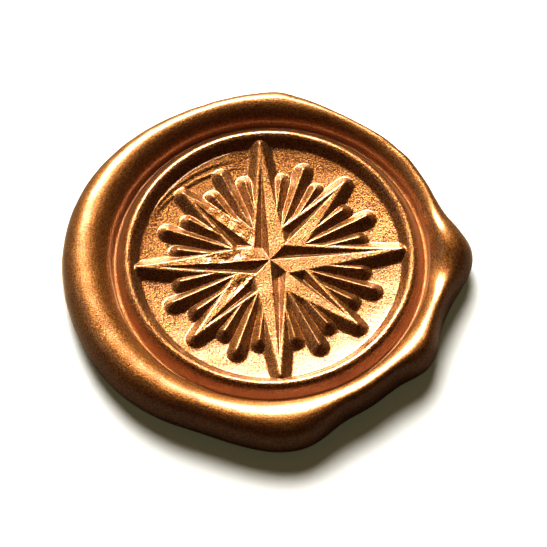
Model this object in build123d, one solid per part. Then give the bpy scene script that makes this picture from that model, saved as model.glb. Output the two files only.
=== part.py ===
from build123d import *
import os
from math import cos, hypot, radians, sin

# A loose wax seal: one pour of metallic wax stamped with a compass rose, a round
# double-sided adhesive pad on its flat back, and the release liner that covers the
# pad. Millimetres. The origin is on the die's axis, on the liner's underside, with
# +Z up through the seal and +Y along the north point of the rose.

os.makedirs("parts", exist_ok=True)

# The pour. rim_scale widens or narrows all the wax outside the die's edge.
die_diameter = 25.0
field_thickness = 1.85
rim_height = 3.35
rim_scale = 1.0

# How far the wax was squeezed out past the die's edge: (angle, width)
rim_widths = [
    (0, 3.60), (11, 2.35), (22, 1.95), (43, 2.00), (61, 2.00), (74, 2.60),
    (82, 3.00), (94, 2.90), (115, 2.95), (131, 3.40), (147, 3.85), (170, 4.10),
    (195, 3.95), (217, 3.85), (232, 3.50), (245, 3.15), (257, 3.45), (270, 3.85),
    (278, 3.50), (287, 2.45), (300, 2.10), (311, 2.15), (321, 2.85), (329, 2.40),
    (338, 2.10), (348, 2.70),
]

# Section of the rim from its flat underside to its crest:
# (share of the rim's width, share of the rim's height)
outer_section = [
    (0.30, 0.00), (0.72, 0.07), (0.94, 0.17), (1.00, 0.31), (0.97, 0.50),
    (0.88, 0.70), (0.73, 0.87), (0.56, 0.97), (0.48, 1.00),
]
# Steep wall that the die's edge left and the softer slope above it, up to the crest:
# (share of the rim's width, share of the recess depth)
recess_section = [
    (0.00, 0.00), (0.05, 0.30), (0.12, 0.60), (0.24, 0.84), (0.38, 1.00), (0.55, 1.20),
]

# Raised ring. The inset is from the die's edge in to the middle of the ring's crest.
ring_inset = 1.20
ring_height = 0.65
ring_crest_width = 0.50
ring_inner_run = 0.60
ring_outer_run = 0.80

# Relief of the rose. Every wall leans 45 degrees, as a conical cutter leaves it. The
# main points touch the ring, and each gap is how far the others stop short of it.
relief_height = 0.70
crest_half_width = 0.07
main_shoulder = 1.85
diagonal_shoulder = 3.10
diagonal_gap = 1.40
long_ray_gap = 1.90
short_ray_gap = 3.15
ray_overlap = 0.25
pocket_rim = 0.16
pocket_floor_share = 0.12

# Raised parts reach this far into the wax below them, so that they join it.
bury = 0.15

# Backing. The inset is from the die's edge in to the pad's edge, and the margin is the
# paper that shows all round the pad.
pad_thickness = 0.40
pad_inset = 2.50
liner_thickness = 0.12
liner_margin = 1.50
liner_tab_length = 2.90
liner_tab_width = 6.0
liner_tab_angle = 150.0

die_radius = die_diameter / 2
wax_base = liner_thickness + pad_thickness
field_z = wax_base + field_thickness
relief_top = field_z + relief_height
recess_depth = rim_height - field_thickness

ring_inner_crest = die_radius - ring_inset - ring_crest_width / 2
ring_outer_crest = ring_inner_crest + ring_crest_width
ring_inner_foot = ring_inner_crest - ring_inner_run
ring_outer_foot = ring_outer_crest + ring_outer_run

main_reach = ring_inner_foot
diagonal_reach = ring_inner_foot - diagonal_gap
long_ray_reach = ring_inner_foot - long_ray_gap
short_ray_reach = ring_inner_foot - short_ray_gap
ray_start = main_shoulder - ray_overlap

pad_radius = die_radius - pad_inset
liner_radius = pad_radius + liner_margin


def polar(radius, angle):
    """Point at a radius and an angle in degrees."""
    return (radius * cos(radians(angle)), radius * sin(radians(angle)))


def rim_outline(share, z):
    """Closed smooth outline at a share of the rim's width outside the die's edge."""
    points = []
    for angle, width in rim_widths:
        x, y = polar(die_radius + share * width * rim_scale, angle)
        points.append((x, y, z))
    return make_face(Spline(*points, periodic=True))


def polygon(points, z):
    """Flat face with straight sides."""
    corners = [(x, y, z) for x, y in points]
    return make_face(Polyline(*corners, close=True))


def crossing(first, second):
    """Where two lines meet, each given as a point and a direction."""
    (ax, ay), (ux, uy) = first
    (bx, by), (vx, vy) = second
    along = ((bx - ax) * vy - (by - ay) * vx) / (ux * vy - uy * vx)
    return (ax + along * ux, ay + along * uy)


def moved_sides(points, distances):
    """Polygon, listed anticlockwise, with each side moved outwards by its distance."""
    lines = []
    for index, (x, y) in enumerate(points):
        next_x, next_y = points[(index + 1) % len(points)]
        length = hypot(next_x - x, next_y - y)
        ux, uy = (next_x - x) / length, (next_y - y) / length
        step = distances[index]
        lines.append(((x + uy * step, y - ux * step), (ux, uy)))
    return [crossing(lines[index - 1], line) for index, line in enumerate(lines)]


def sloped(points, top, bottom):
    """Solid with this polygon as its top and walls that lean 45 degrees outwards."""
    run = top - bottom
    foot = moved_sides(points, [run] * len(points))
    return loft([polygon(foot, bottom), polygon(points, top)], ruled=True)


def main_outline():
    """The main star: four points with narrow blunt tips, listed anticlockwise."""
    points = []
    for quarter in range(4):
        angle = 90 * quarter
        tip_x, tip_y = polar(main_reach, angle)
        side_x, side_y = polar(crest_half_width, angle + 90)
        points.append((tip_x - side_x, tip_y - side_y))
        points.append((tip_x + side_x, tip_y + side_y))
        points.append(polar(main_shoulder, angle + 45))
    return points


def diagonal_outline(angle):
    """One point of the diagonal star, from under the main star to its blunt tip."""
    tip_x, tip_y = polar(diagonal_reach, angle)
    side_x, side_y = polar(crest_half_width, angle + 90)
    return [
        polar(ray_start / 2, angle),
        polar(diagonal_shoulder, angle - 22.5),
        (tip_x - side_x, tip_y - side_y),
        (tip_x + side_x, tip_y + side_y),
        polar(diagonal_shoulder, angle + 22.5),
    ]


def ray(reach, angle):
    """Straight ridge with rounded ends and sloped walls."""
    foot_z = field_z - bury
    foot_half_width = crest_half_width + relief_top - foot_z
    length = reach - ray_start
    middle = ray_start + length / 2
    foot = Pos(middle, 0, foot_z) * SlotCenterToCenter(length, 2 * foot_half_width)
    crest = Pos(middle, 0, relief_top) * SlotCenterToCenter(length, 2 * crest_half_width)
    return Rot(0, 0, angle) * loft([foot.face(), crest.face()], ruled=True)


def pocket(corners, rim_side):
    """Pit with 45 degree walls in a triangle, listed anticlockwise.

    The side that starts at corner number rim_side keeps a narrow rim.
    """
    insets = [0.0, 0.0, 0.0]
    insets[rim_side] = -pocket_rim
    mouth = moved_sides(corners, insets)
    sides = []
    for index in range(3):
        (ax, ay), (bx, by) = mouth[(index + 1) % 3], mouth[(index + 2) % 3]
        sides.append(hypot(bx - ax, by - ay))
    around = sum(sides)
    centre_x = sum(side * corner[0] for side, corner in zip(sides, mouth)) / around
    centre_y = sum(side * corner[1] for side, corner in zip(sides, mouth)) / around
    (ax, ay), (bx, by), (cx, cy) = mouth
    area = abs((bx - ax) * (cy - ay) - (by - ay) * (cx - ax)) / 2
    depth = min(2 * area / around * (1 - pocket_floor_share), relief_height)
    shrink = 1 - depth * around / (2 * area)
    floor = []
    for x, y in mouth:
        floor.append((centre_x + (x - centre_x) * shrink, centre_y + (y - centre_y) * shrink))
    return loft([polygon(floor, relief_top - depth), polygon(mouth, relief_top)], ruled=True)


def wax_body():
    """The pour: an uneven rounded rim around the level that the die pressed flat."""
    outer = []
    for share, height in outer_section:
        outer.append(rim_outline(share, wax_base + height * rim_height))
    recess = []
    for share, depth in recess_section:
        recess.append(rim_outline(share, field_z + depth * recess_depth))
    return loft(outer) - loft(recess)


def raised_ring():
    """Ring ridge with a steep inner wall and a gentler outer wall."""
    section = Polyline(
        (ring_inner_foot, 0, field_z),
        (ring_inner_crest, 0, field_z + ring_height),
        (ring_outer_crest, 0, field_z + ring_height),
        (ring_outer_foot, 0, field_z),
        (ring_outer_foot, 0, field_z - bury),
        (ring_inner_foot, 0, field_z - bury),
        close=True,
    )
    return revolve(make_face(section), Axis.Z)


def compass_rose():
    """Rays and two stars, with a pit in the anticlockwise half of every star point."""
    rays = []
    for number in range(32):
        angle = number * 360 / 32
        if number % 2:
            rays.append(ray(short_ray_reach, angle))
        elif number % 4:
            rays.append(ray(long_ray_reach, angle))
    foot_z = field_z - bury
    stars = [sloped(main_outline(), relief_top, foot_z)]
    for quarter in range(4):
        stars.append(sloped(diagonal_outline(45 + 90 * quarter), relief_top, foot_z))
    pits = []
    for quarter in range(4):
        angle = 90 * quarter
        main_corners = [(0, 0), polar(main_reach, angle), polar(main_shoulder, angle + 45)]
        pits.append(pocket(main_corners, 1))
        angle += 45
        diagonal_corners = [
            polar(main_shoulder, angle),
            polar(diagonal_reach, angle),
            polar(diagonal_shoulder, angle + 22.5),
        ]
        pits.append(pocket(diagonal_corners, 1))
    return rays, stars, pits


def wax_seal():
    """The whole pour with its ring and rose, as one solid."""
    rays, stars, pits = compass_rose()
    body = wax_body() + raised_ring() + rays + stars
    return body - pits


def adhesive_pad():
    """Round double-sided pad between the wax and the liner."""
    lift = liner_thickness + pad_thickness / 2
    return Pos(0, 0, lift) * Cylinder(pad_radius, pad_thickness)


def release_liner():
    """Round of coated paper with a rounded tab to pull it by."""
    tab_centre = liner_radius + liner_tab_length - liner_tab_width / 2
    tab = Pos(tab_centre / 2, 0) * SlotCenterToCenter(tab_centre, liner_tab_width)
    outline = Circle(liner_radius) + Rot(0, 0, liner_tab_angle) * tab
    return extrude(outline, amount=liner_thickness)


def write(name, shape):
    """One STEP file for one named piece."""
    shape.label = name
    export_step(shape, f"parts/{name}.step")


write("wax_seal", wax_seal())
write("adhesive_pad", adhesive_pad())
write("release_liner", release_liner())
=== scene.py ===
from math import atan, cos, pi, radians, sin

import bpy
import numpy as np
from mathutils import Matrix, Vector


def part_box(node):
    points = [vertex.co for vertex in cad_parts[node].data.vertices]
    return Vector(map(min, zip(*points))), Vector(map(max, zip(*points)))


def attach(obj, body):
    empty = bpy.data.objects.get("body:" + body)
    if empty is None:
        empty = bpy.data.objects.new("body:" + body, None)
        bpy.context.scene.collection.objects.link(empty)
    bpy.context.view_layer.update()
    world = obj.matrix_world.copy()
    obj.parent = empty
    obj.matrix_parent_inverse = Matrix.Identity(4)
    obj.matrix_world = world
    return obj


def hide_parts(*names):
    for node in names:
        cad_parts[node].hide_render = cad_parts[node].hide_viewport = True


# A copper wax seal with a compass rose, its foam adhesive pad and its paper liner.
# Meshes are worked out in millimetres and stored in metres. Headings and angles are in
# degrees, anticlockwise from the east: 90 is north, along the top point of the rose.

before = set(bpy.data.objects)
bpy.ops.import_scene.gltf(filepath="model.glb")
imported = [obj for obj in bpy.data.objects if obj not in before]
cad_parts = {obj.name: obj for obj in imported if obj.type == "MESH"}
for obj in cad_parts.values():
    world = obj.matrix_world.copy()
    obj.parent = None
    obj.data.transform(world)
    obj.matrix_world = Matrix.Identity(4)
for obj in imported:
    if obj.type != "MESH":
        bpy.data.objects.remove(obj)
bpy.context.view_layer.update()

MM = 0.001
rng = np.random.default_rng(7)

# ---------------------------------------------------------------- camera

VIEW_AZIMUTH = -4.5
VIEW_ELEVATION = 61.5
VIEW_DISTANCE = 0.60
VIEW_WIDTH = 43.6 * MM          # width of the table that the frame takes in
AIM = (0.26 * MM, 0.37 * MM)    # right and up-table offset of the frame's centre


def make_camera():
    """A long lens that looks down at the seal from the south."""
    azimuth, elevation = radians(VIEW_AZIMUTH), radians(VIEW_ELEVATION)
    towards = Vector((
        sin(azimuth) * cos(elevation), -cos(azimuth) * cos(elevation), sin(elevation)))
    across = Vector((cos(azimuth), sin(azimuth), 0))
    away = Vector((-sin(azimuth), cos(azimuth), 0))
    target = across * AIM[0] + away * AIM[1]
    data = bpy.data.cameras.new("camera")
    data.sensor_width = 36.0
    data.angle = 2 * atan(VIEW_WIDTH / 2 / VIEW_DISTANCE)
    data.clip_start = 0.01
    camera = bpy.data.objects.new("camera", data)
    camera.location = target + towards * VIEW_DISTANCE
    camera.rotation_euler = (-towards).to_track_quat("-Z", "Y").to_euler()
    bpy.context.scene.collection.objects.link(camera)
    bpy.context.scene.camera = camera


make_camera()

# ---------------------------------------------------------------- sizes

pad_low, pad_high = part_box("adhesive_pad")
wax_low, wax_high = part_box("wax_seal")
liner_low, liner_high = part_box("release_liner")

WAX_BASE = wax_low.z / MM
RIM_HEIGHT = (wax_high.z - wax_low.z) / MM
PAD_RADIUS = (pad_high.x - pad_low.x) / 2 / MM
LINER_RADIUS = (liner_high.y - liner_low.y) / 2 / MM
DIE_RADIUS = 12.5
FIELD = WAX_BASE + 1.85         # level that the die pressed flat

RING_HEIGHT = 0.65
RING_INNER_FOOT = DIE_RADIUS - 2.08
RING_CREST = DIE_RADIUS - 1.18
RING_OUTER_FOOT = DIE_RADIUS - 0.30
RING_INNER_SLOPE, RING_OUTER_SLOPE = 1.12, 1.08

# The rose. Reaches are the radii of its tips, and shoulders those of the notches
# between the points of a star.
RELIEF = 0.70
CREST_HALF_WIDTH = 0.07
CREST_ROUNDING = 0.022          # square of the width over which a crest is rounded
CREST_LOSS = 0.05               # how much that rounding takes off a crest, put back
POCKET_RIM = 0.15               # left standing along the outer side of a pit
MAIN_REACH, MAIN_SHOULDER = RING_INNER_FOOT + 0.03, 1.85
DIAGONAL_REACH, DIAGONAL_SHOULDER = MAIN_REACH - 1.39, 3.10
LONG_REACH, SHORT_REACH = MAIN_REACH - 1.90, MAIN_REACH - 3.15

# How far the wax was squeezed out past the die's edge: angle, width
RIM_WIDTHS = np.array([
    (0, 3.60), (11, 2.35), (22, 1.95), (43, 2.00), (61, 2.00), (74, 2.60),
    (82, 3.00), (94, 2.90), (115, 2.95), (131, 3.40), (147, 3.85), (170, 4.10),
    (195, 3.95), (217, 3.85), (232, 3.50), (245, 3.15), (257, 3.45), (270, 3.85),
    (278, 3.50), (287, 2.45), (300, 2.10), (311, 2.15), (321, 2.85), (329, 2.40),
    (338, 2.10), (348, 2.70)])

# Points round a row of the pressed face, and the radii of the rows that have them
FACE_ZONES = (
    (96, np.linspace(0.08, 0.80, 10)), (192, np.linspace(0.88, 1.60, 10)),
    (384, np.linspace(1.69, 3.20, 18)), (768, np.linspace(3.30, 10.37, 66)),
    (768, np.linspace(10.44, 12.44, 28)))
RIM_POINTS = 384                # half as many as the last row of the face

TAB_HEADING = 150.0
TAB_LENGTH = 2.9                # how far the tab reaches past the round of the liner
TAB_HALF_WIDTH = 3.0

# ---------------------------------------------------------------- helpers


def between(first, second, share):
    """From one value to another as the share goes from 0 to 1."""
    return first + (second - first) * share


def smooth_step(value, low, high):
    """0 below low, 1 above high and an S-curve between them."""
    t = np.clip((value - low) / (high - low), 0, 1)
    return t * t * (3 - 2 * t)


def bump(value, centre, width):
    """Bell of height 1 about a centre."""
    return np.exp(-((value - centre) / width) ** 2)


def turned(angle, centre):
    """Angle from a centre line, in degrees, between -180 and 180."""
    return (angle - centre + 180) % 360 - 180


def bell_round(angle, centre, width):
    """Bell of height 1 about a heading."""
    return bump(turned(angle, centre), 0, width)


def soft_max(first, second, softness):
    """The larger of two heights, with the corner between them rounded."""
    gap = first - second
    return (first + second + np.sqrt(gap * gap + softness * softness)) / 2


def around(table, angle):
    """A closed smooth curve through (angle, value) rows: a periodic cubic spline."""
    knots, values = table[:, 0], table[:, 1]
    count = len(knots)
    gaps = (np.roll(knots, -1) - knots) % 360
    before = np.roll(gaps, 1)
    slopes = (np.roll(values, -1) - values) / gaps
    matrix = np.zeros((count, count))
    rows = np.arange(count)
    matrix[rows, rows] = 2 * (gaps + before)
    matrix[rows, (rows - 1) % count] += before
    matrix[rows, (rows + 1) % count] += gaps
    bend = np.linalg.solve(matrix, 6 * (slopes - np.roll(slopes, 1)))
    cell = np.searchsorted(knots, angle % 360, side="right") - 1
    following = (cell + 1) % count
    step = (angle % 360) - knots[cell]
    gap = gaps[cell]
    rest = gap - step
    return (
        bend[cell] * rest ** 3 / (6 * gap) + bend[following] * step ** 3 / (6 * gap)
        + (values[cell] / gap - bend[cell] * gap / 6) * rest
        + (values[following] / gap - bend[following] * gap / 6) * step)


class Waves:
    """Smooth noise: a sum of plane waves of about one wavelength in random directions."""

    def __init__(self, wavelength, count=24):
        heading = rng.uniform(0, 2 * pi, count)
        number = 2 * pi / (wavelength * rng.uniform(0.7, 1.5, count))
        self.kx, self.ky = number * np.cos(heading), number * np.sin(heading)
        self.phase = rng.uniform(0, 2 * pi, count)

    def at(self, x, y):
        """Noise at whole arrays of places, about -1 to 1."""
        total = np.zeros_like(x)
        for kx, ky, phase in zip(self.kx, self.ky, self.phase):
            total += np.sin(kx * x + ky * y + phase)
        return total / np.sqrt(len(self.kx) * 2)


def closed_angles(count):
    """Evenly spaced angles once round, in degrees."""
    return np.arange(count) * 360 / count


def closed_row(angle, radius, z):
    """One row of points round the axis; the radius and z may be single numbers."""
    theta = np.radians(angle)
    columns = np.broadcast_arrays(radius * np.cos(theta), radius * np.sin(theta), z)
    return np.stack(columns, 1)


def ring_faces(inner_start, inner_count, outer_start, outer_count):
    """Faces between two closed rows of points, with five corners where a row doubles."""
    count = min(inner_count, outer_count)
    here = np.arange(count)
    onward = (here + 1) % count
    if inner_count == outer_count:
        corners = (inner_start + here, outer_start + here,
                   outer_start + onward, inner_start + onward)
    elif outer_count > inner_count:
        corners = (inner_start + here, outer_start + 2 * here, outer_start + 2 * here + 1,
                   outer_start + 2 * onward, inner_start + onward)
    else:
        corners = (inner_start + 2 * here, outer_start + here, outer_start + onward,
                   inner_start + 2 * onward, inner_start + 2 * here + 1)
    return np.stack(corners, 1).tolist()


def lathe_mesh(name, rows, top, bottom):
    """Closed mesh from rows of points that run from a top pole, outwards and under.

    Every row is an (n, 3) array in millimetres, listed anticlockwise.
    """
    starts, total = [], 1
    for row in rows:
        starts.append(total)
        total += len(row)
    points = np.concatenate([[top], *rows, [bottom]])
    here = np.arange(len(rows[0]))
    onward = (here + 1) % len(here)
    faces = np.stack([0 * here, 1 + here, 1 + onward], 1).tolist()
    for index in range(len(rows) - 1):
        faces += ring_faces(starts[index], len(rows[index]),
                            starts[index + 1], len(rows[index + 1]))
    here = np.arange(len(rows[-1]))
    onward = (here + 1) % len(here)
    last = starts[-1]
    faces += np.stack([last + here, total + 0 * here, last + onward], 1).tolist()
    mesh = bpy.data.meshes.new(name)
    mesh.from_pydata(points * MM, [], faces)
    mesh.validate()
    mesh.shade_smooth()
    piece = bpy.data.objects.new(name, mesh)
    bpy.context.scene.collection.objects.link(piece)
    return piece, points


def store(piece, name, values):
    """One number for each point, that a material reads."""
    layer = piece.data.attributes.new(name, "FLOAT", "POINT")
    layer.data.foreach_set("value", np.asarray(values, np.float32))


# ---------------------------------------------------------------- the rose


def ridge(distance):
    """Height of a wall that leans 45 degrees away from a narrow rounded crest."""
    over = distance - CREST_HALF_WIDTH
    return RELIEF + CREST_LOSS - (over + np.sqrt(over * over + CREST_ROUNDING)) / 2


def line_gap(x, y, ax, ay, bx, by):
    """Distance to a straight stretch, and the signed gap to its line, left positive."""
    ux, uy = bx - ax, by - ay
    length = np.hypot(ux, uy)
    ux, uy = ux / length, uy / length
    along = np.clip((x - ax) * ux + (y - ay) * uy, 0, length)
    gap = (y - ay) * ux - (x - ax) * uy
    return np.hypot(x - ax - along * ux, y - ay - along * uy), gap


def ray_family(r, angle, first, pitch, reach):
    """Ridges along straight rays: distance to the nearest one sets the height."""
    off = np.radians((angle - first + pitch / 2) % pitch - pitch / 2)
    beyond = np.maximum(r * np.cos(off) - reach, 0)
    return ridge(np.hypot(beyond, r * np.sin(off)))


def star_points(r, angle, first, reach, shoulder, half_pitch):
    """Height outside four star points, whether a place is inside one, and its pit.

    Each point is a kite from the centre to its tip. The clockwise half is level, and
    the anticlockwise half is a pit whose 45 degree walls leave a narrow rim outside.
    """
    off = (angle - first + 45) % 90 - 45
    x = r * np.cos(np.radians(off))
    side = r * np.sin(np.radians(off))
    y = np.abs(side)
    corner = radians(half_pitch)
    sx, sy = shoulder * cos(corner), shoulder * sin(corner)
    distance, outside = line_gap(x, y, sx, sy, reach, 0.0)
    inside = (outside < 0) & (np.abs(off) < half_pitch + 0.001)
    depth = np.minimum(side, -outside - POCKET_RIM)
    depth = np.minimum(depth, r * np.sin(np.radians(np.clip(half_pitch - off, 0, 90))))
    return ridge(distance), inside, np.clip(np.where(inside, depth, 0), 0, RELIEF)


def rose_height(r, angle):
    """Height of the rose above the field: rays, then both stars, then their pits.

    Walls take the largest height of all the ridges round them. Inside a star point the
    height is the relief less the pit.
    """
    rays = np.maximum(
        ray_family(r, angle, 11.25, 22.5, SHORT_REACH),
        ray_family(r, angle, 22.5, 45.0, LONG_REACH))
    main_out, main_in, main_pit = star_points(
        r, angle, 0.0, MAIN_REACH, MAIN_SHOULDER, 45.0)
    diagonal_out, diagonal_in, diagonal_pit = star_points(
        r, angle, 45.0, DIAGONAL_REACH, DIAGONAL_SHOULDER, 22.5)
    outside = np.maximum(np.maximum(rays, main_out), diagonal_out)
    main_top = RELIEF - soft_max(main_pit, 0, 0.02) + 0.01
    diagonal_top = np.maximum(RELIEF - diagonal_pit, main_out)
    height = np.where(main_in, main_top, np.where(diagonal_in, diagonal_top, outside))
    return soft_max(height, 0, 0.03)


# ---------------------------------------------------------------- the pour

coarse, lumps, fine = Waves(2.6), Waves(1.5), Waves(0.32)
speckle = Waves(0.16, 30)


def ring_height(r):
    """Raised ring: straight inner and outer walls that meet in a rounded crest."""
    inner = (r - RING_INNER_FOOT) * RING_INNER_SLOPE
    outer = (RING_OUTER_FOOT - r) * RING_OUTER_SLOPE
    crest = RING_HEIGHT + 0.02 - 0.45 * (r - RING_CREST) ** 2
    walls = -soft_max(-inner, -outer, 0.06)
    return -soft_max(-walls, -crest, 0.10)


def ledges(x, y, angle):
    """Two faint ledges in the north-west, where the die was set down twice.

    Each is a smooth step up across a circle about a shifted centre, with a thin bead.
    """
    rise = np.zeros_like(x)
    for heading, shift, step in ((245, 1.7, 0.07), (236, 1.0, 0.05)):
        cx, cy = shift * cos(radians(heading)), shift * sin(radians(heading))
        reach = np.hypot(x - cx, y - cy)
        rise += step * smooth_step(reach, 10.20, 10.42) + 0.03 * bump(reach, 10.40, 0.09)
    return rise * smooth_step(angle, 94, 116) * (1 - smooth_step(angle, 138, 158))


def torn(r, angle):
    """How badly the wax tore as the die came away.

    A sum of bells about the west, north-west and south-west of the rose.
    """
    share = np.zeros_like(r)
    for much, heading, spread, reach, length in (
            (1.0, 172, 13, 3.6, 2.0), (0.6, 128, 26, 4.6, 2.6), (0.8, 217, 15, 3.2, 1.2)):
        share += much * bell_round(angle, heading, spread) * bump(r, reach, length)
    return share


def face_height(r, angle):
    """Height above the table of everything inside the die's edge.

    The largest of the field, the rose and the ring, joined softly, with ledges, a curl
    that grows with the fourth power of the radius, a bead, turning marks and tears.
    """
    x, y = r * np.cos(np.radians(angle)), r * np.sin(np.radians(angle))
    rose = rose_height(r, angle)
    raised = np.clip(rose / RELIEF, 0, 1)
    bare = np.clip(1 - rose / 0.2, 0, 1) * (r < RING_INNER_FOOT)
    height = FIELD + np.where(r < RING_INNER_FOOT + 0.6, rose, 0)
    height = soft_max(height, FIELD + ring_height(r), 0.03)
    height += bare * ledges(x, y, angle)
    # the wax curls up a little towards the ring, as it shrank on setting
    curl = 0.30 * (r / 10) ** 4 - 0.08
    height += curl * (1 - smooth_step(r, 11.2, 12.4))
    # the die's edge left a small bead of wax at the foot of the rim, in the east
    height += 0.05 * bump(r, 12.44, 0.07) * bell_round(angle, 10, 65)
    # turning marks that the die's cutter left in the south-east
    marks = bell_round(angle, -25, 55) * smooth_step(r, 8.6, 9.2) * bare
    height += marks * 0.005 * np.sin(r * 2 * pi / 0.30 + 0.4 * np.sin(angle / 9))
    chips = 0.10 * lumps.at(x, y) + 0.02 * fine.at(x, y) - 0.04
    height += raised * torn(r, angle) * chips
    height += 0.012 * coarse.at(x, y) + 0.004 * fine.at(x, y)
    return height + (0.002 + 0.004 * raised) * speckle.at(x, y)


def rim_rows(angle, inner_z):
    """Rows of points over the rim, from the die's edge to the flat underside.

    Each row is a fixed share along a section: a steep wall up to a faint lip, an
    S-curve up to the crest, then two quarter superellipses that share the rim's
    widest point, the second one turning under to the flat back.
    """
    theta = np.radians(angle)
    width = around(RIM_WIDTHS, angle)
    # the east lobe stands up by itself, with a saddle between it and the south-east
    crest_z = WAX_BASE + RIM_HEIGHT - 0.30 + 0.09 * width + 0.02 * np.sin(3 * theta + 1)
    crest_z += 0.26 * bell_round(angle, 3, 7) - 0.30 * bell_round(angle, -10.5, 7)
    crest_r = DIE_RADIUS + 0.45 + 0.42 * width - 0.5 * bell_round(angle, 5, 9)
    # the lip is higher in the south and lower in the north
    lip_z = inner_z + 0.42 + 0.05 * width
    lip_z += 0.22 * bell_round(angle, 275, 50) - 0.16 * bell_round(angle, 95, 50)
    lip_r = DIE_RADIUS + 0.12 + 0.03 * width
    widest_r = DIE_RADIUS + width
    widest_z = WAX_BASE + 0.95 + 0.05 * np.sin(2 * theta)
    back_r = DIE_RADIUS + 0.30 * width
    sections = []
    for share in np.linspace(0, 1, 9)[1:]:
        sections.append((between(DIE_RADIUS, lip_r, share ** 0.8),
                         between(inner_z, lip_z, share ** 1.25)))
    for share in np.linspace(0, 1, 11)[1:]:
        sections.append((between(lip_r, crest_r, share),
                         between(lip_z, crest_z, 1 - (1 - share) ** 2.1)))
    for turn in np.linspace(0, pi / 2, 16)[1:]:
        sections.append((between(crest_r, widest_r, sin(turn) ** 0.92),
                         between(widest_z, crest_z, max(cos(turn), 0) ** 0.92)))
    for turn in np.linspace(0, pi / 2, 8)[1:]:
        sections.append((between(back_r, widest_r, max(cos(turn), 0) ** 0.85),
                         between(widest_z, WAX_BASE, sin(turn) ** 0.85)))
    rows = []
    for radius, z in sections:
        x, y = radius * np.cos(theta), radius * np.sin(theta)
        over = smooth_step(z, WAX_BASE + 0.1, WAX_BASE + 0.9)
        swell = over * (0.02 * coarse.at(x, y) + 0.003 * lumps.at(x, y))
        rows.append(closed_row(angle, radius + swell, z + 0.6 * swell))
    return rows


def make_wax():
    """The whole pour as one closed surface: the face, then the rim, then the flat back.

    Stores where the die pressed it, and how deep in the groove outside the ring it is.
    """
    rows = []
    for count, radii in FACE_ZONES:
        angle = closed_angles(count)
        for radius in radii:
            z = face_height(np.full(count, radius), angle)
            rows.append(closed_row(angle, radius, z))
    edge = rows[-1][::2, 2] + 0.02
    rows += rim_rows(closed_angles(RIM_POINTS), edge)
    back = rows[-1]
    for share in (0.97, 0.85, 0.5):
        rows.append(back * (share, share, 1))
    centre = np.zeros(1)
    top = (0, 0, face_height(centre, centre)[0])
    piece, points = lathe_mesh("copper_wax", rows, top, (0, 0, WAX_BASE))
    radius = np.hypot(points[:, 0], points[:, 1])
    upper = points[:, 2] > FIELD - 0.5      # leaves out the flat back
    store(piece, "pressed", upper & (radius < DIE_RADIUS))
    groove = smooth_step(radius, 11.6, 12.0) * (1 - smooth_step(radius, 12.5, 12.7))
    store(piece, "cavity", 0.8 * groove * upper)
    return piece


# ---------------------------------------------------------------- the backing


def make_pad():
    """Foam round: flat faces and a side with a half-sine waist, pitted by crossed waves."""
    angle = closed_angles(256)
    theta = np.radians(angle)
    low, high = pad_low.z / MM, pad_high.z / MM
    flat = (0.25, 0.5, 0.75, 0.92, 0.985)
    rows = [closed_row(angle, PAD_RADIUS * share, high) for share in flat]
    for number, share in enumerate(np.linspace(0, 1, 9), len(flat)):
        pits = 0.02 * np.sin(theta * 97 + number * 2.1) * np.sin(theta * 41 + number)
        side = PAD_RADIUS - 0.03 - 0.05 * sin(share * pi)
        rows.append(closed_row(angle, side + pits, between(high, low, share)))
    rows += [closed_row(angle, PAD_RADIUS * share, low) for share in reversed(flat)]
    piece, _ = lathe_mesh("foam_pad", rows, (0, 0, high), (0, 0, low))
    return piece


def liner_outline(angle):
    """Radius of the paper's edge: the farther of the round and the tab's rounded end."""
    centre = LINER_RADIUS + TAB_LENGTH - TAB_HALF_WIDTH
    off = np.radians(turned(angle, TAB_HEADING))
    across = np.abs(np.sin(off)) * centre
    end = centre * np.cos(off) + np.sqrt(np.clip(TAB_HALF_WIDTH ** 2 - across ** 2, 0, None))
    tab = np.where((np.cos(off) > 0) & (across < TAB_HALF_WIDTH), end, 0)
    farther = np.maximum(tab, LINER_RADIUS)
    return np.minimum(soft_max(tab, LINER_RADIUS, 0.25), farther + 0.05)


def make_liner():
    """Flat paper with eased edges: every row is a share of its outline."""
    angle = closed_angles(720)
    outline = liner_outline(angle)
    low, high = liner_low.z / MM, liner_high.z / MM
    flat = (0.2, 0.4, 0.6, 0.8, 0.94, 0.985, 0.999)
    rows = [closed_row(angle, outline * share, high) for share in flat]
    rows += [closed_row(angle, outline, high - 0.03), closed_row(angle, outline, low + 0.03)]
    rows += [closed_row(angle, outline * share, low) for share in reversed(flat)]
    piece, _ = lathe_mesh("liner_paper", rows, (0, 0, high), (0, 0, low))
    return piece


# ---------------------------------------------------------------- materials

# Sockets of a Mix node that is set to colours
MIX_FIRST, MIX_SECOND, MIX_RESULT = 6, 7, 2


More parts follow.
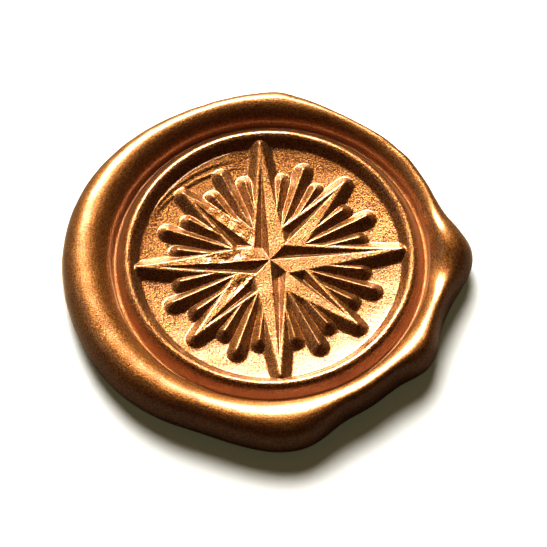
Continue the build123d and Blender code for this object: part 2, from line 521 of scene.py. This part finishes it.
class Finish:
    """A node material being put together."""

    def __init__(self, name):
        self.material = bpy.data.materials.new(name)
        self.material.use_nodes = True
        self.tree = self.material.node_tree
        self.shader = self.tree.nodes["Principled BSDF"]
        self.place = self.add("ShaderNodeTexCoord").outputs["Object"]

    def add(self, kind, **settings):
        """A node with its settings."""
        node = self.tree.nodes.new(kind)
        for key, value in settings.items():
            setattr(node, key, value)
        return node

    def join(self, source, target):
        """A link from an output to an input."""
        self.tree.links.new(source, target)

    def set(self, **values):
        """Plain values and outputs for the shader's inputs, with _ for each space."""
        for key, value in values.items():
            socket = self.shader.inputs[key.replace("_", " ")]
            if isinstance(value, bpy.types.NodeSocket):
                self.join(value, socket)
            else:
                socket.default_value = value

    def noise(self, size, detail=2.0, roughness=0.5, stretch=None):
        """Noise with features of about this many millimetres, stretched by a Mapping."""
        node = self.add("ShaderNodeTexNoise")
        node.inputs["Scale"].default_value = 1 / (size * MM)
        node.inputs["Detail"].default_value = detail
        node.inputs["Roughness"].default_value = roughness
        place = self.place
        if stretch is not None:
            mapping = self.add("ShaderNodeMapping")
            mapping.inputs["Scale"].default_value = stretch
            self.join(place, mapping.inputs["Vector"])
            place = mapping.outputs["Vector"]
        self.join(place, node.inputs["Vector"])
        return node.outputs["Fac"]

    def cells(self, size):
        """Cells of about this many millimetres."""
        node = self.add("ShaderNodeTexVoronoi")
        node.inputs["Scale"].default_value = 1 / (size * MM)
        self.join(self.place, node.inputs["Vector"])
        return node

    def ramp(self, source, stops):
        """Colours at stops along a number."""
        node = self.add("ShaderNodeValToRGB")
        for element, (position, colour) in zip(node.color_ramp.elements, stops):
            element.position = position
            element.color = (*colour, 1.0)
        self.join(source, node.inputs["Fac"])
        return node.outputs["Color"]

    def range(self, source, low, high, start=0.0, end=1.0):
        """A number moved from one range to another."""
        node = self.add("ShaderNodeMapRange")
        self.join(source, node.inputs["Value"])
        node.inputs["From Min"].default_value = start
        node.inputs["From Max"].default_value = end
        node.inputs["To Min"].default_value = low
        node.inputs["To Max"].default_value = high
        return node.outputs["Result"]

    def math(self, operation, *values):
        """Numbers combined; each may be a plain value."""
        node = self.add("ShaderNodeMath", operation=operation)
        for socket, value in zip(node.inputs, values):
            if isinstance(value, float):
                socket.default_value = value
            else:
                self.join(value, socket)
        return node.outputs["Value"]

    def mix(self, share, first, second):
        """Two colours mixed by a number; each may be a plain colour."""
        node = self.add("ShaderNodeMix", data_type="RGBA")
        self.join(share, node.inputs["Factor"])
        for socket, colour in ((node.inputs[MIX_FIRST], first),
                               (node.inputs[MIX_SECOND], second)):
            if isinstance(colour, tuple):
                socket.default_value = (*colour, 1.0)
            else:
                self.join(colour, socket)
        return node.outputs[MIX_RESULT]

    def read(self, name):
        """A number stored on the piece's points."""
        return self.add("ShaderNodeAttribute", attribute_name=name).outputs["Fac"]

    def bump(self, height, strength, depth, before=None):
        """Bumps of this depth in millimetres, on top of earlier ones."""
        node = self.add("ShaderNodeBump")
        node.inputs["Strength"].default_value = strength
        node.inputs["Distance"].default_value = depth * MM
        self.join(height, node.inputs["Height"])
        if before is not None:
            self.join(before, node.inputs["Normal"])
        return node.outputs["Normal"]


def wax_finish():
    """Copper-pigmented wax: mica grain in a satin skin, coarser where it was pressed.

    The skin's cloudy copper is mixed with a grain that runs from dark gaps to bright
    mica. Some flakes are picked out, and the groove beside the ring is evened out.
    """
    made = Finish("copper wax")
    pressed = made.read("pressed")
    grain = made.noise(0.13, 2.0, 0.6)
    split = made.add("ShaderNodeSeparateColor")
    made.join(made.cells(0.11).outputs["Color"], split.inputs["Color"])
    glint = split.outputs["Red"]
    skin = made.ramp(made.noise(2.4, 3.0), (
        (0.30, (0.40, 0.168, 0.024)), (0.70, (0.48, 0.218, 0.032))))
    mica = made.ramp(grain, ((0.41, (0.13, 0.020, 0.005)), (0.60, (0.66, 0.350, 0.085))))
    colour = made.mix(made.math("MULTIPLY_ADD", pressed, 0.28, 0.52), skin, mica)
    flakes = made.range(glint, 0.0, 0.30, 0.70, 1.0)
    colour = made.mix(flakes, colour, (0.66, 0.42, 0.17))
    colour = made.mix(made.read("cavity"), colour, (0.50, 0.22, 0.065))
    rough = made.range(made.noise(0.22), 0.43, 0.53, 0.3, 0.7)
    rough = made.math("MULTIPLY_ADD", pressed, -0.07, rough)
    depth = made.math("MULTIPLY_ADD", pressed, 0.6, 0.9)
    grain_bumps = made.bump(made.math("MULTIPLY", grain, depth), 0.95, 0.044)
    made.set(
        Base_Color=colour, Metallic=0.74, Roughness=rough,
        Coat_Weight=0.85, Coat_IOR=1.9, Coat_Roughness=0.30,
        Sheen_Weight=0.9, Sheen_Roughness=0.30, Sheen_Tint=(1.0, 0.82, 0.56, 1.0),
        Normal=made.bump(glint, 0.25, 0.008, grain_bumps))
    return made.material


def foam_finish():
    """White foam with fine cells and a faint tack film."""
    made = Finish("white foam")
    cell = made.cells(0.10).outputs["Distance"]
    colour = made.ramp(cell, ((0.1, (0.62, 0.62, 0.58)), (0.7, (0.48, 0.48, 0.45))))
    made.set(
        Base_Color=colour, Roughness=made.range(made.noise(1.2), 0.35, 0.6),
        Normal=made.bump(cell, 0.5, 0.03))
    return made.material


def paper_finish():
    """Brown kraft paper with long fibres, and no gloss that would flash at a low angle."""
    made = Finish("coated kraft paper")
    fibres = made.noise(0.12, 4.0, stretch=(1.0, 0.18, 1.0))
    colour = made.ramp(fibres, (
        (0.35, (0.27, 0.185, 0.105)), (0.65, (0.38, 0.275, 0.165))))
    made.set(
        Base_Color=colour, Roughness=made.range(made.noise(0.8), 0.42, 0.55),
        Specular_IOR_Level=0.0, Normal=made.bump(fibres, 0.2, 0.01))
    return made.material


def table_finish():
    """Matt card, white to the eye and dull to the light that it throws back at the seal. To
    the eye it also glows faintly in yellow-green: painted light that lifts and tints the
    seal's shadow on it.
    """
    made = Finish("white card with painted glow")
    seen = made.add("ShaderNodeLightPath").outputs["Is Camera Ray"]
    made.set(
        Base_Color=made.mix(seen, (0.20, 0.18, 0.15), (0.98, 0.98, 0.97)),
        # painted light: a faint yellow-green glow, seen only by the eye, lifts and tints the
        # shadow that the seal casts on the card
        Emission_Color=(0.84, 1.0, 0.60, 1.0), Emission_Strength=made.range(seen, 0.0, 0.11),
        Roughness=0.9, Specular_IOR_Level=0.1)
    return made.material


# ---------------------------------------------------------------- put together


def finish_piece(piece, material, body, node):
    """Gives a piece its material and its body, and hides the CAD piece that it stands for.
    """
    piece.data.materials.append(material)
    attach(piece, body)
    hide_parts(node)


finish_piece(make_wax(), wax_finish(), "seal", "wax_seal")
finish_piece(make_pad(), foam_finish(), "seal", "adhesive_pad")
finish_piece(make_liner(), paper_finish(), "liner", "release_liner")

TABLE_HALF = 800 * MM
TABLE_LEVEL = -0.01 * MM        # just under the liner, so that no two faces coincide


def make_table():
    """A wide white card that the seal lies on."""
    corners = []
    for x, y in ((-1, -1), (1, -1), (1, 1), (-1, 1)):
        corners.append((x * TABLE_HALF, y * TABLE_HALF, TABLE_LEVEL))
    mesh = bpy.data.meshes.new("table")
    mesh.from_pydata(corners, [], [(0, 1, 2, 3)])
    mesh.materials.append(table_finish())
    table = bpy.data.objects.new("table", mesh)
    bpy.context.scene.collection.objects.link(table)


def make_light(name, heading, elevation, spread, strength, kind):
    """A distant round light, as wide as its spread.

    Kind "soft" lights only matt surfaces, and kind "gloss" is seen only in reflections.
    """
    data = bpy.data.lights.new(name, "SUN")
    data.angle = radians(spread)
    data.energy = strength
    light = bpy.data.objects.new(name, data)
    light.visible_diffuse = kind == "soft"
    light.visible_glossy = kind == "gloss"
    towards = Vector((
        cos(radians(elevation)) * cos(radians(heading)),
        cos(radians(elevation)) * sin(radians(heading)), sin(radians(elevation))))
    light.rotation_euler = (-towards).to_track_quat("-Z", "Y").to_euler()
    bpy.context.scene.collection.objects.link(light)


def make_world():
    """A surround that is white to the eye and lights the seal only faintly, in red."""
    world = bpy.data.worlds.new("surround")
    bpy.context.scene.world = world
    world.use_nodes = True
    nodes, links = world.node_tree.nodes, world.node_tree.links
    seen = nodes.new("ShaderNodeLightPath").outputs["Is Camera Ray"]
    strength = nodes.new("ShaderNodeMapRange")
    strength.inputs["To Min"].default_value = 0.07
    strength.inputs["To Max"].default_value = 1.0
    tint = nodes.new("ShaderNodeMix")
    tint.data_type = "RGBA"
    tint.inputs[MIX_FIRST].default_value = (1.0, 0.30, 0.18, 1.0)
    tint.inputs[MIX_SECOND].default_value = (1.0, 1.0, 1.0, 1.0)
    links.new(seen, strength.inputs["Value"])
    links.new(seen, tint.inputs["Factor"])
    links.new(strength.outputs["Result"], nodes["Background"].inputs["Strength"])
    links.new(tint.outputs[MIX_RESULT], nodes["Background"].inputs["Color"])


make_table()
make_light("window", heading=98, elevation=46, spread=40, strength=6.4, kind="soft")
make_light("window_sheen", heading=98, elevation=33, spread=38, strength=6.2, kind="gloss")
make_light("side_sheen", heading=160, elevation=34, spread=50, strength=0.3, kind="gloss")
make_world()

scene = bpy.context.scene
scene.view_settings.view_transform = "Standard"
scene.view_settings.gamma = 0.66
